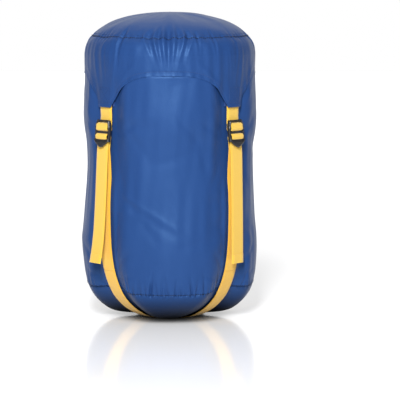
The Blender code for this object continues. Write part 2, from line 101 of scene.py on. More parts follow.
# --- numbers -----------------------------------------------------------------

def smooth(low, high, value):
    """0 below low, 1 above high, and a soft rise between them."""
    share = np.clip((np.asarray(value, float) - low) / (high - low), 0, 1)
    return share * share * (3 - 2 * share)


def curve_at(points, place):
    """Smooth curve through (place, value) points."""
    xs = np.array([point[0] for point in points], float)
    ys = np.array([point[1] for point in points], float)
    slopes = np.gradient(ys, xs)
    place = np.clip(np.asarray(place, float), xs[0], xs[-1])
    index = np.clip(np.searchsorted(xs, place) - 1, 0, len(xs) - 2)
    width = xs[index + 1] - xs[index]
    t = (place - xs[index]) / width
    return (ys[index] * (2 * t**3 - 3 * t**2 + 1) + slopes[index] * width * (t**3 - 2 * t**2 + t)
            + ys[index + 1] * (3 * t**2 - 2 * t**3) + slopes[index + 1] * width * (t**3 - t**2))


def spaced(points, count):
    """Points spaced evenly along a smooth 2-D line."""
    points = np.array(points, float)
    reach = np.r_[0, np.cumsum(np.linalg.norm(np.diff(points, axis=0), axis=1))]
    place = np.linspace(0, reach[-1], count)
    return np.stack([curve_at(list(zip(reach, points[:, axis])), place) for axis in (0, 1)], 1)


def wall(height):
    """Outside radius of the side wall."""
    return curve_at(WALL, height)


def from_tab(azimuth):
    """Degrees from the middle of the nearest tab, evened out so that half-way to the next is 45."""
    azimuth = np.asarray(azimuth, float)
    return np.abs((azimuth + EVENING * np.sin(np.radians(2 * azimuth))) % 90 - 45)


def skirt_edge(azimuth):
    """Height of the skirt's lower edge: tabs with arches between them."""
    along = np.clip((from_tab(azimuth) - TAB_HALF_ANGLE) / (45 - TAB_HALF_ANGLE), 0, 1)
    return ARCH_EDGE - (ARCH_EDGE - TAB_EDGE) * (1 - along) ** ARCH_POWER


def apart(azimuth, other):
    """Signed degrees from other to azimuth."""
    return (np.asarray(azimuth, float) - other + 180) % 360 - 180


def ripple(seed, azimuth, height, size, tall):
    """Soft noise of about -1 to 1 over the wall; size is in degrees and tall in millimetres."""
    draw = np.random.default_rng(seed)
    total = np.zeros(np.broadcast(azimuth, height).shape)
    for _ in range(9):
        waves = max(1, round(360 / size * draw.uniform(0.5, 1.4)))
        total = total + np.sin(np.radians(azimuth) * waves + draw.uniform(0, 2 * math.pi)
                               + height / tall * 2 * math.pi * draw.uniform(-1, 1))
    return total / 3


def puckers(seed, count, azimuth, away, depth, length, width=(0.9, 2.0)):
    """Small folds that run off a seam: away is the distance from the seam in millimetres."""
    draw = np.random.default_rng(seed)
    total = np.zeros(np.broadcast(azimuth, away).shape)
    for index in range(count):
        middle = 360 * (index + draw.uniform(-0.42, 0.42)) / count
        breadth = draw.uniform(*width)
        reach = draw.uniform(*length)
        deep = draw.uniform(*depth)
        lean = draw.uniform(-0.12, 0.12)
        across = apart(azimuth, middle + lean * away) / (breadth * (1 + 0.6 * away / reach))
        total = total - deep * np.exp(-across**2) * np.exp(-(away / reach) ** 2 * 1.6)
    return total


def creases(folds, azimuth, height):
    """Long soft folds, each (azimuth, height, azimuth, height, width, rise) in degrees and millimetres."""
    total = np.zeros(np.broadcast(azimuth, height).shape)
    for az0, z0, az1, z1, width, rise in folds:
        scale = math.radians(1) * WALL_RADIUS
        x = apart(azimuth, az0) * scale
        y = height - z0
        dx, dy = apart(az1, az0) * scale, z1 - z0
        reach = math.hypot(dx, dy)
        along = (x * dx + y * dy) / reach**2
        across = (x * dy - y * dx) / reach
        ends = smooth(-0.25, 0.25, along) * (1 - smooth(0.75, 1.25, along))
        total = total + rise * np.exp(-(across / width) ** 2) * ends
    return total


# --- the cloth's surface -----------------------------------------------------

FRONT_FOLDS = [(-122, 150, -80, 107, 3, 0.45), (-122, 143, -82, 100, 4.5, -0.5), (-60, 100, -84, 90, 6, -0.5),
               (-104, 184, -78, 196, 7, -0.7), (-118, 222, -104, 192, 5, -0.6), (-72, 220, -64, 176, 5, -0.6)]


def corner_folds():
    """Tension folds that spread from each lock and tab over the wall."""
    folds = []
    for number, angle in enumerate(CORNERS.values()):
        draw = np.random.default_rng(40 + number)
        for side in (-1, 1):
            folds.append((angle + side * 10, 240, angle + side * draw.uniform(15, 20), 268, 3.5, 0.8))
            folds.append((angle + side * 9, 214, angle + side * draw.uniform(20, 28), 232, 4.5, -1.0))
            folds.append((angle + side * 8, 198, angle + side * draw.uniform(14, 20), 158, 5, -0.7))
            folds.append((angle + side * 7, 62, angle + side * draw.uniform(18, 26), 84, 4, -1.0))
            folds.append((angle + side * 7, 50, angle + side * draw.uniform(20, 28), 58, 3, -0.9))
    return folds


def random_folds(seed, count, low, high):
    """Shallow dents all round the wall."""
    draw = np.random.default_rng(seed)
    folds = []
    for _ in range(count):
        azimuth, height = draw.uniform(0, 360), draw.uniform(low, high)
        turn, half = draw.uniform(-0.9, 0.9), draw.uniform(14, 34)
        across, up = half * math.cos(turn) / 1.71, half * math.sin(turn)
        folds.append((azimuth - across, height - up, azimuth + across, height + up, draw.uniform(4, 9),
                      draw.uniform(-1.1, 0.7)))
    return folds


def wall_folds(azimuth, height):
    """Every fold and dent on the tube, in millimetres outwards."""
    fading = smooth(37, 66, height) * (1 - smooth(274, 292, height))
    rise = creases(FRONT_FOLDS + corner_folds() + random_folds(3, 34, 60, 268), azimuth, height)
    rise = rise + 0.55 * ripple(5, azimuth, height, 34, 120) + 0.22 * ripple(6, azimuth, height, 11, 90)
    return rise * fading


def held_low(azimuth, radius):
    """How much a strap pulls in the bottom of the sack there, 0 to 1."""
    return 1 - smooth(WEB_WIDTH / 2 + 2, 36, radius * np.sin(np.radians(from_tab(azimuth))))


def seam_puckers(azimuth, away, length):
    """The bottom seam's groove and its small gathers; away is the distance from the seam."""
    gathers = puckers(11, 124, azimuth, away, (1.2, 3.4), length, (0.45, 0.75))
    gathers = gathers * smooth(5, 10, from_tab(azimuth))
    return gathers * (0.5 + 0.5 * np.exp(-(apart(azimuth, -90) / 30) ** 2)) - 0.35 * np.exp(-(away / 1.6) ** 2)


def strap_bed(height):
    """The tube's outside under a strap, below the lock."""
    radius = wall(height)
    held = np.minimum(radius, curve_at(HELD_WALL, height))
    return np.where(np.asarray(height) < HELD_WALL[-1][0], held, radius)


def tube_radius(azimuth, height):
    """The tube's outside: full between the straps, pressed in under them and under the skirt."""
    off = from_tab(azimuth)
    edge = skirt_edge(azimuth)
    radius = wall(height) + 2.0 * np.exp(-(apart(azimuth, 180) / 34) ** 2) * smooth(40, 90, height) * (
        1 - smooth(120, 185, height))
    held = held_low(azimuth, radius) * (height < HELD_WALL[-1][0])
    radius = radius + (strap_bed(height) - radius) * held + 0.6 * smooth(7, 20, off) * smooth(37, 80, height)
    radius = radius - 1.9 * smooth(edge - 0.3, edge + 1.6, height)
    radius = radius + wall_folds(azimuth, height) * smooth(5.5, 13, off)
    radius = radius + seam_puckers(azimuth, height - SEAM_LOW, (5, 19))
    radius = radius - 0.45 * (1 - smooth(5.9, 9.5, off))
    beside = np.exp(-((off - 8.4) / 2.0) ** 2) * (1 - smooth(150, 185, height)) * smooth(37, 60, height)
    radius = radius + 0.9 * beside
    pressed = (1 - smooth(7.5, 21, off)) * smooth(146, 204, height)
    return radius + (np.minimum(radius, RECESS - 0.3) - radius) * pressed


def linked(name, data):
    """A new object in the scene."""
    made = bpy.data.objects.new(name, data)
    bpy.context.scene.collection.objects.link(made)
    return made


@contextmanager
def editing(piece):
    """A piece's mesh open for changes, which are put back at the end."""
    bm = bmesh.new()
    bm.from_mesh(piece.data)
    bm.verts.ensure_lookup_table()
    bm.faces.ensure_lookup_table()
    yield bm
    bm.to_mesh(piece.data)
    bm.free()


def grid_piece(name, rows, uv):
    """A mesh object from a (rows, columns, 3) array in millimetres, whose columns join up."""
    count, width = rows.shape[:2]
    mesh = bpy.data.meshes.new(name)
    index = np.arange(count * width).reshape(count, width)
    index = np.concatenate([index, index[:, :1]], 1)
    faces = np.stack([index[:-1, :-1], index[:-1, 1:], index[1:, 1:], index[1:, :-1]], -1).reshape(-1, 4)
    mesh.from_pydata((rows.reshape(-1, 3) * MM).tolist(), [], faces.tolist())
    last = uv[:, :1].copy()
    last[:, :, 0] = 2 * uv[:, -1:, 0] - uv[:, -2:-1, 0]
    uv = np.concatenate([uv, last], 1)
    corner = np.stack([uv[:-1, :-1], uv[:-1, 1:], uv[1:, 1:], uv[1:, :-1]], 2).reshape(-1, 2)
    mesh.uv_layers.new(name="UVMap").data.foreach_set("uv", (corner * MM).ravel())
    mesh.shade_smooth()
    return linked(name, mesh)


def settled(azimuths, height):
    """Heights with the bottom seam lower at the front and higher at the back."""
    near = np.exp(-((height - SEAM_LOW) / 17) ** 2) * smooth(8, 24, from_tab(azimuths))
    return height + 4.0 * np.sin(np.radians(azimuths)) * near


def round_piece(name, radius, height, along):
    """A surface all round the sack from rows of radii and heights; along is the cloth's upward coordinate."""
    turn = np.radians(AROUND)[None, :]
    uv = np.stack([turn * WALL_RADIUS + 0 * radius, along + 0 * radius], -1)
    height = settled(AROUND[None, :], height + 0 * radius)
    return grid_piece(name, np.stack([radius * np.cos(turn), radius * np.sin(turn), height], -1), uv)


def apply_modifiers(piece):
    """Put a piece's modifiers into its mesh."""
    depsgraph = bpy.context.evaluated_depsgraph_get()
    result = bpy.data.meshes.new_from_object(piece.evaluated_get(depsgraph))
    piece.modifiers.clear()
    piece.data = result
    return piece


def thicken(piece, thickness):
    """Give a cloth surface its thickness on the inside."""
    change = piece.modifiers.new("Cloth thickness", "SOLIDIFY")
    change.thickness = thickness * MM
    change.offset = -1
    return apply_modifiers(piece)


def outward(piece):
    """Turn the faces of a round surface outwards."""
    with editing(piece) as bm:
        face = bm.faces[len(bm.faces) // 2]
        if face.normal.dot(face.calc_center_median() - MIDDLE) < 0:
            bmesh.ops.reverse_faces(bm, faces=bm.faces[:])
    return piece


def close_ends(piece, count):
    """Close the first and the last ring of a round surface."""
    with editing(piece) as bm:
        for ring in (bm.verts[:count], bm.verts[-count:]):
            bmesh.ops.contextual_create(bm, geom=ring)
        bmesh.ops.recalc_face_normals(bm, faces=bm.faces[:])


def close_middle(piece, first):
    """Close a domed surface at its first or last ring, and make it face away from the sack's middle."""
    with editing(piece) as bm:
        ring = bm.verts[:len(AROUND)] if first else bm.verts[-len(AROUND):]
        bmesh.ops.contextual_create(bm, geom=ring)
    with editing(piece) as bm:
        bmesh.ops.recalc_face_normals(bm, faces=bm.faces[:])
        face = max(bm.faces, key=lambda one: one.calc_area())
        if face.normal.dot(face.calc_center_median() - MIDDLE) < 0:
            bmesh.ops.reverse_faces(bm, faces=bm.faces[:])
    return piece


def dress(piece, material):
    """Give a piece its material."""
    piece.data.materials.append(material)
    return piece


def sew(piece, material, thickness, body, *stands_for):
    """Make a surface cloth, on one body, in place of the frame's nodes."""
    dress(thicken(piece, thickness), material)
    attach(piece, body)
    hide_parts(*stands_for)
    return piece


def make_tube(materials):
    """The tube, from the bottom seam to where the mouth's gather starts."""
    heights = np.concatenate([np.linspace(SEAM_LOW, 66, 30), np.linspace(67.5, TUBE_TOP, 120)])[:, None]
    piece = outward(round_piece("tube_cloth", tube_radius(AROUND[None, :], heights), heights, heights))
    dress(thicken(piece, CLOTH), materials["nylon"])
    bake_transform(piece)
    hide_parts("sack_tube")


def bottom_point(azimuths, rows):
    """Radius and height of the bottom panel: it sags to the floor between the straps that hold it up."""
    free, held = spaced(PANEL_FREE, rows), spaced(PANEL_HELD, rows)
    share = held_low(azimuths[None, :], held[:, :1])
    radius = free[:, :1] + (held[:, :1] - free[:, :1]) * share
    height = free[:, 1:] + (held[:, 1:] - free[:, 1:]) * share
    step = np.hypot(np.gradient(radius, axis=0), np.gradient(height, axis=0))
    reach = np.cumsum(step, 0)
    away = reach[-1:] - reach
    near = np.exp(-(away / 5) ** 2)
    normal_r = np.gradient(height, axis=0) / step * (1 - near) + near
    normal_z = -np.gradient(radius, axis=0) / step * (1 - near)
    size = np.hypot(normal_r, normal_z)
    beside = np.sin(np.radians(from_tab(azimuths[None, :]))) * radius
    under = 1 - smooth(10.2, 15, beside)
    push = seam_puckers(azimuths[None, :], away, (1.5, 4)) * smooth(38, 60, radius)
    uneven = 0.6 * ripple(8, azimuths[None, :], reach, 40, 60) * smooth(20, 60, radius)
    push = push + uneven * (1 - under) * (1 - near)
    push = push - 0.45 * under
    return radius + normal_r / size * push, np.maximum(height + normal_z / size * push, 0.25), reach


def make_bottom(materials):
    """The sewn bottom panel."""
    radius, height, reach = bottom_point(AROUND, 84)
    radius[0] = 0.4
    piece = close_middle(round_piece("bottom_cloth", radius, height, -reach), True)
    sew(piece, materials["nylon_low"], CLOTH, "sack", "bottom_panel")


LOAD_TOP = [(90.6, 296.5), (87, 305.5), (80, 313), (69, 318.4), (50, 322.8), (33, 325.2), (12, 327),
            (0.3, 327.3)]


def make_load(materials):
    """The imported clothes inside, a lumpy block a little smaller than the tube."""
    low_r, low_z, _ = bottom_point(AROUND, 30)
    heights = np.linspace(46, 284, 80)[:, None]
    # The tube's cloth slides up over the load as the lid rises, so the load keeps clear of all that passes
    passing = [SLIDE_LOW + (heights - SLIDE_LOW) / (1 + share * RISE / (SLIDE_HIGH - SLIDE_LOW))
               for share in np.linspace(0, 1, 7)]
    side = np.min([tube_radius(AROUND[None, :], np.minimum(low, heights)) for low in passing], 0) - 2.6
    top = spaced(LOAD_TOP, 30)
    radius = np.concatenate([np.maximum(low_r[:-1] * 0.962, 0.3), side, top[:, :1] + 0 * side[:1]])
    height = np.concatenate([low_z[:-1] + 2.8, heights + 0 * side[:1], top[:, 1:] + 0 * side[:1]])
    lumps = np.abs(ripple(31, AROUND[None, :], height, 24, 60)) * smooth(20, 60, radius)
    piece = outward(round_piece("load_cloth", radius - 0.9 * lumps, height, height))
    close_ends(piece, len(AROUND))
    dress(piece, materials["load"])
    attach(piece, "sack")
    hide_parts("packed_load")


GATHER = [(96.2, 291.3), (95.2, 300.5), (91.4, 309.5), (84, 316.8), (70, 322.4), (50, 326), (33, 328.3),
          (20.5, 329.6), (17, 333.2)]


def make_mouth(materials):
    """The tube's mouth, drawn together in pleats over the load."""
    line = spaced(GATHER, 70)
    radius, height = line[:, :1] + 0 * AROUND, line[:, 1:] + 0 * AROUND
    turn = np.radians(AROUND)[None, :]
    phase = 24 * turn + 1.6 * np.sin(3 * turn + 0.7) + 0.9 * np.sin(7 * turn) + 0.012 * (96 - radius)
    pleats = (0.5 + 0.5 * np.cos(phase)) ** 1.5 * (0.3 + 1.6 * smooth(92, 40, radius))
    pleats = pleats * smooth(16.8, 21, radius)
    fine = 0.3 * np.cos(2.3 * phase + 3 * turn) * smooth(94, 80, radius) * smooth(17, 30, radius)
    radius, height = pushed(radius, height, pleats + fine, 99 + 0 * radius)
    piece = outward(round_piece("mouth_cloth", radius, height, radius))
    sew(piece, materials["nylon"], CLOTH, "mouth", "mouth_gather")


def soft_copies(materials):
    """The channel and tab patches: the frame's own solids, split finely and given cloth's unevenness."""
    patches = [("tab_patch_" + corner, "lid", 0.12) for corner in CORNERS]
    for cad_name, body, size in [("drawcord_channel", "mouth", 0.35)] + patches:
        bm = bmesh.new()
        bm.from_mesh(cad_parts[cad_name].data)
        long = [edge for edge in bm.edges if edge.calc_length() > 3 * MM]
        bmesh.ops.subdivide_edges(bm, edges=long, cuts=3, use_grid_fill=True)
        bm.normal_update()
        for vert in bm.verts:
            x, y, z = vert.co / MM
            turn = math.atan2(y, x)
            wave = math.sin(26 * turn + 0.5 * math.sin(5 * turn)) + 0.4 * math.sin(0.9 * z + 3 * turn)
            vert.co += vert.normal * (size * wave * MM)
        mesh = bpy.data.meshes.new(cad_name + "_cloth")
        bm.to_mesh(mesh)
        bm.free()
        mesh.shade_smooth()
        mesh.set_sharp_from_angle(angle=math.radians(45))
        piece = dress(linked(cad_name + "_cloth", mesh), materials["nylon_plain"])
        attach(piece, body)
        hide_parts(cad_name)


def make_spring(materials):
    """The cord lock's spring: the frame's coil, copied in steel."""
    piece = linked("lock_spring_coil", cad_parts["cord_lock_spring"].data.copy())
    piece.data.materials.clear()
    dress(piece, materials["steel"])
    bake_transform(piece)
    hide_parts("cord_lock_spring")


# --- the lid -----------------------------------------------------------------

def lid_folds():
    """Folds that rise from each tab over the skirt."""
    folds = []
    for number, angle in enumerate(CORNERS.values()):
        draw = np.random.default_rng(60 + number)
        for side in (-1, 1):
            folds.append((angle + side * draw.uniform(5, 7), 262, angle + side * draw.uniform(7, 12), 318,
                          2.6, draw.uniform(0.3, 0.8)))
            folds.append((angle + side * draw.uniform(1, 3), 278, angle + side * draw.uniform(1, 6), 322,
                          2.2, draw.uniform(0.2, 0.6)))
            folds.append((angle + side * 8, 264, angle + side * draw.uniform(22, 28), 297, 4.0,
                          draw.uniform(0.4, 0.9)))
    return folds


# Deeper gathers in the lid's seam: (azimuth, depth, length down the skirt, width in degrees, lean)
GATHERS = [(-90.2, 3.4, 38, 3.0, 0.0), (-97.6, 2.3, 31, 2.5, 0.11), (-104.8, 2.2, 25, 2.5, 0.20),
           (-83.0, 2.3, 30, 2.6, -0.11), (-76.0, 1.9, 22, 2.2, -0.17), (-126, 1.3, 30, 1.9, -0.02),
           (-69.5, 0.8, 16, 1.4, 0.0),
           (-57, 0.8, 22, 1.4, 0.0), (0, 1.8, 28, 2.2, 0.0), (5, 1.1, 20, 1.5, -0.07), (-6, 1, 18, 1.4, 0.08),
           (88, 1.7, 27, 2.1, 0.0), (94, 1.2, 21, 1.6, -0.08), (176, 1.6, 26, 2.0, 0.0),
           (182, 1.2, 19, 1.6, -0.08)]


def lid_seam(azimuth, away, longer):
    """The lid seam's groove and gathers, shared by the skirt and the top."""
    push = puckers(21, 84, azimuth, away, (0.2, 0.9), (4, 15), (0.7, 1.6))
    for middle, deep, long, breadth, lean in GATHERS:
        x = apart(azimuth, middle + lean * away * longer) / (breadth * (1 - 0.35 * smooth(0, long, away)))
        ridge = np.exp(-((np.abs(x) - 1.45) / 0.6) ** 2)
        fading = np.exp(-(away / (long * longer)) ** 2 * 1.4)
        push = push - deep * (np.exp(-np.abs(x) ** 1.7) - 0.4 * ridge) * fading
    push = push + 0.8 * ripple(29, azimuth, 0 * away, 34, 50) * np.exp(-(away / 9) ** 2)
    return push - 0.4 * np.exp(-(away / 1.6) ** 2)


def pushed(radius, height, push, away):
    """Move a surface along its normal, or along the seam's own direction beside the seam."""
    step_r, step_z = np.gradient(radius, axis=0), np.gradient(height, axis=0)
    near = np.exp(-(away / 6) ** 2)
    size = np.hypot(step_r, step_z)
    normal_r = step_z / size * (1 - near) + 0.72 * near
    normal_z = -step_r / size * (1 - near) + 0.69 * near
    size = np.hypot(normal_r, normal_z)
    return radius + normal_r / size * push, height + normal_z / size * push


def skirt_section(azimuths, rows):
    """The skirt from its edge (row 0) to the seam: radius, height and distance to the seam."""
    edge = skirt_edge(azimuths)[None, :]
    arc = spaced(SHOULDER, 26)
    low = int(rows * 0.6)
    share = np.linspace(0, 1, low)[:, None]
    height = edge + (SHOULDER[0][1] - edge) * share
    radius = wall(height)
    height = np.concatenate([height, arc[1:, 1:] + 0 * edge])
    radius = np.concatenate([radius, arc[1:, :1] + 0 * edge])
    step = np.hypot(np.diff(radius, axis=0), np.diff(height, axis=0))
    reach = np.concatenate([0 * edge, np.cumsum(step, 0)])
    return radius, height, reach[-1:] - reach, reach


def skirt_surface(azimuths, rows=90):
    """The skirt's folded outside: radius, height and distance from its edge."""
    radius, height, away, reach = skirt_section(azimuths, rows)
    azimuth = azimuths[None, :]
    off = from_tab(azimuth)
    tab = (1 - smooth(5.6, 15, off)) * (1 - smooth(262, 306, height))
    push = lid_seam(azimuth, away, 1.0)
    push = push + creases(lid_folds(), azimuth, height) * smooth(3, 12, away) * (1 - 0.6 * tab)
    uneven = 0.45 * ripple(23, azimuth, height, 26, 90) + 0.2 * ripple(24, azimuth, height, 9, 70)
    push = push + uneven * smooth(2, 16, away) * (1 - 0.8 * tab)
    push = push - 1.1 * tab - 3.0 * np.exp(-((off - 11.5) / 4.0) ** 2) * (1 - smooth(256, 286, height))
    push = push - 0.12 * np.exp(-((reach - 5.4) / 0.9) ** 2) + 0.5 * np.exp(-((reach - 0.6) / 1.9) ** 2)
    push = push + 0.25 * np.sin(np.radians(azimuth) * 61) * np.exp(-reach / 5) * smooth(9, 15, off)
    return *pushed(radius, height, push, away), reach


def make_skirt(materials):
    """The scalloped skirt, gathered into the lid's seam, with a hem along its edge."""
    piece = outward(round_piece("skirt_cloth", *skirt_surface(AROUND)))
    sew(piece, materials["nylon"], HEMMED_CLOTH, "lid", "lid_skirt", "lid_hem_tape")


def top_surface(azimuths, rows=96):
    """The domed top from its seam (row 0) to its middle: radius, height and distance from the seam."""
    line = spaced(DOME, rows)
    reach = np.r_[0, np.cumsum(np.linalg.norm(np.diff(line, axis=0), axis=1))][:, None]
    azimuth = azimuths[None, :]
    push = lid_seam(azimuth, reach, 0.45)
    uneven = 0.8 * ripple(27, azimuth, reach, 70, 90) + 0.25 * ripple(28, azimuth, reach, 24, 60)
    push = push + uneven * smooth(3, 26, reach) * smooth(0, 45, line[:, :1])
    radius, height = line[:, :1] + 0 * azimuth, line[:, 1:] + 0 * azimuth
    return *pushed(radius, height, push * smooth(0, 30, radius), reach), reach


def make_seam_tapes(materials):
    """The tapes inside both seams, following the folded cloth."""
    radius, height, _ = skirt_surface(AROUND)
    radius, height = radius[-7:] - 1.5, height[-7:] - 0.5
    lid = round_piece("lid_tape_cloth", radius, height, height)
    height = np.linspace(SEAM_LOW + 0.6, 47, 8)[:, None]
    low = round_piece("bottom_tape_cloth", tube_radius(AROUND[None, :], height) - 0.9, height, height)
    sew(outward(lid), materials["nylon_plain"], CLOTH, "lid", "lid_seam_tape")
    sew(outward(low), materials["nylon_plain"], CLOTH, "sack", "bottom_seam_tape")


def make_lid_top(materials):
    """The domed top panel, puckered at its seam."""
    radius, height, reach = top_surface(AROUND)
    radius[-1] = 0.3
    height[-1] = DOME[-1][1]
    piece = close_middle(round_piece("lid_top_cloth", radius, height, reach), False)
    sew(piece, materials["nylon"], CLOTH, "lid", "lid_top")


# --- stitches ----------------------------------------------------------------

def stitches(name, points, length, material, body, thick=0.28, fill=0.62, closed=False):
    """Thread stitches along a line of points in millimetres; each stitch is a small flat loaf."""
    points = np.array(points, float)
    if closed:
        points = np.concatenate([points, points[:1]])
    reach = np.r_[0, np.cumsum(np.linalg.norm(np.diff(points, axis=0), axis=1))]
    count = max(1, round(reach[-1] / length))
    at = [np.interp((np.arange(count) + shift) / count * reach[-1], reach, points[:, axis])
          for shift in ((1 - fill) / 2, 0.5, (1 + fill) / 2) for axis in range(3)]
    starts, middles, ends = (np.stack(at[3 * index:3 * index + 3], 1) for index in range(3))
    verts, faces = [], []
    ring = 6
    for start, middle, end in zip(starts, middles, ends):
        along = end - start
        along /= np.linalg.norm(along)
        side = np.cross(along, middle * (1, 1, 0))
        side /= np.linalg.norm(side)
        up = np.cross(side, along)
        base = len(verts)
        for share, swell in ((0, 0.35), (0.2, 0.9), (0.5, 1.05), (0.8, 0.9), (1, 0.35)):
            centre = start + (end - start) * share + up * (thick * (0.55 * (1 - (2 * share - 1) ** 4) - 0.25))
            for index in range(ring):
                turn = 2 * math.pi * index / ring
                rim = (side * math.cos(turn) + up * math.sin(turn) * 0.8) * thick * swell
                verts.append(tuple((centre + rim) * MM))
        for level in range(4):
            for index in range(ring):
                after = (index + 1) % ring
                low = base + level * ring
                faces.append((low + index, low + after, low + ring + after, low + ring + index))
        faces.append(tuple(base + index for index in range(ring))[::-1])
        faces.append(tuple(base + 4 * ring + index for index in range(ring)))
    mesh = bpy.data.meshes.new(name)
    mesh.from_pydata(verts, [], faces)
    mesh.shade_smooth()
    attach(dress(linked(name, mesh), material), body)


def polar(radius, azimuth, height):
    """A point from its radius, azimuth and height."""
    turn = math.radians(azimuth)
    return (radius * math.cos(turn), radius * math.sin(turn), height)


def on_rows(azimuths, radius, height, measure, wanted):
    """The points of a surface whose distance measure has the wanted value, one for each azimuth."""
    points = []
    for column, azimuth in enumerate(azimuths):
        rows = np.argsort(measure[:, column])
        line = measure[rows, column]
        r = np.interp(wanted, line, radius[rows, column])
        z = np.interp(wanted, line, height[rows, column])
        points.append(polar(r, azimuth, z))
    return points


def make_lid_stitches(materials):
    """Two rows beside the lid's seam, one along the hem, and the boxes on the tabs."""
    thread = materials["blue_thread"]
    radius, height, reach = skirt_surface(AROUND)
    away = reach[-1:] - reach
    # The seam rows are near-black: thread with the needle holes' shade painted in
    stitches("lid_seam_stitches", on_rows(AROUND, radius + 0.35, height + 0.3, away, 0.5), 2.6,
             materials["shaded_seam_thread"], "lid", thick=0.55, fill=0.5, closed=True)
    hem = on_rows(AROUND, radius + 0.1, height, reach, 5.4)
    stitches("hem_stitches", hem, 2.7, thread, "lid", closed=True)
    radius, height, reach = top_surface(AROUND)
    seam = on_rows(AROUND, radius + 0.1, height + 0.12, reach + 0 * radius, 3.6)
    stitches("top_seam_stitches", seam, 2.7, thread, "lid", thick=0.22, closed=True)
    for corner, angle in CORNERS.items():
        left_low, right_low, right_high, left_high = (-5.0, 253.5), (5.0, 253.5), (5.0, 272), (-5.0, 272)
        corners = [left_low, right_low, right_high, left_high, left_low, right_high, right_low, left_high]
        path = []
        for (a0, z0), (a1, z1) in zip(corners, corners[1:]):
            for share in np.linspace(0, 1, 12, endpoint=False):
                path.append((a0 + (a1 - a0) * share, z0 + (z1 - z0) * share))
        places = np.array([angle + az for az, _ in path])
        grid_r, grid_z, _ = skirt_surface(places)
        points = []
        for column, (azimuth, (_, z)) in enumerate(zip(places, path)):
            r = np.interp(z, grid_z[:, column], grid_r[:, column]) + 0.15
            points.append(polar(r, azimuth, z))
        stitches("tab_box_" + corner, points, 2.6, thread, "lid", thick=0.24)


def make_bottom_stitches(materials):
    """One row along the bottom seam."""
    height = SEAM_LOW + 0.5
    radius = tube_radius(AROUND, height + 0 * AROUND) + 0.4
    turn = np.radians(AROUND)
    points = np.stack([radius * np.cos(turn), radius * np.sin(turn), settled(AROUND, height + 0 * AROUND)], 1)
    stitches("bottom_seam_stitches", points, 2.6, materials["shaded_seam_thread"], "sack", thick=0.36,
             fill=0.5, closed=True)


# --- webbing -----------------------------------------------------------------

def web_mesh(name, path, angle, thickness=WEB, step=1.2):
    """Webbing along (outwards, up) points in millimetres, in the strap's own upright plane."""
    path = np.array(path, float)
    length = np.linalg.norm(np.diff(path, axis=0), axis=1).sum()
    line = spaced(path, max(4, int(length / step)))
    slope = np.gradient(line, axis=0)
    slope = slope / np.linalg.norm(slope, axis=1)[:, None]
    normal = np.stack([slope[:, 1], -slope[:, 0]], 1)
    half = WEB_WIDTH / 2
    sides = np.linspace(-1, 1, 13)
    lift = thickness / 2 * (1 - np.abs(sides) ** 9 * 0.75)
    across, lift = np.r_[half * sides, half * sides[::-1]], np.r_[lift, -lift[::-1]]
    reach = np.r_[0, np.cumsum(np.linalg.norm(np.diff(line, axis=0), axis=1))]
    out, up = (line[:, axis:axis + 1] + normal[:, axis:axis + 1] * lift for axis in (0, 1))
    turn = np.radians(angle)
    x, y = out * np.cos(turn) - across * np.sin(turn), out * np.sin(turn) + across * np.cos(turn)
    rows = np.stack([x, y, up], -1)
    uv = np.stack([across + 0 * out, reach[:, None] + 0 * out], -1)
    piece = grid_piece(name, rows, uv)
    close_ends(piece, len(across))
    piece.data.shade_smooth()
    piece.data.set_sharp_from_angle(angle=math.radians(50))
    return piece


def lock_point(out, down):
    """A point of the leaning lock as (outwards, up) in the strap's upright plane."""
    lean = (math.sin(LOCK_LEAN), math.cos(LOCK_LEAN))
    return (HINGE_RADIUS + out * lean[1] + down * lean[0], HINGE_HEIGHT + out * lean[0] - down * lean[1])


# How each free tail hangs: its bow, its slant outwards and its flare at the end
TAIL_HANGS = {"front_left": (0.8, -5.0, 7.0), "front_right": (0.4, -8.0, 0.0)}
BACK_TAIL_HANGS = (1.6, 0.0, 0.8)


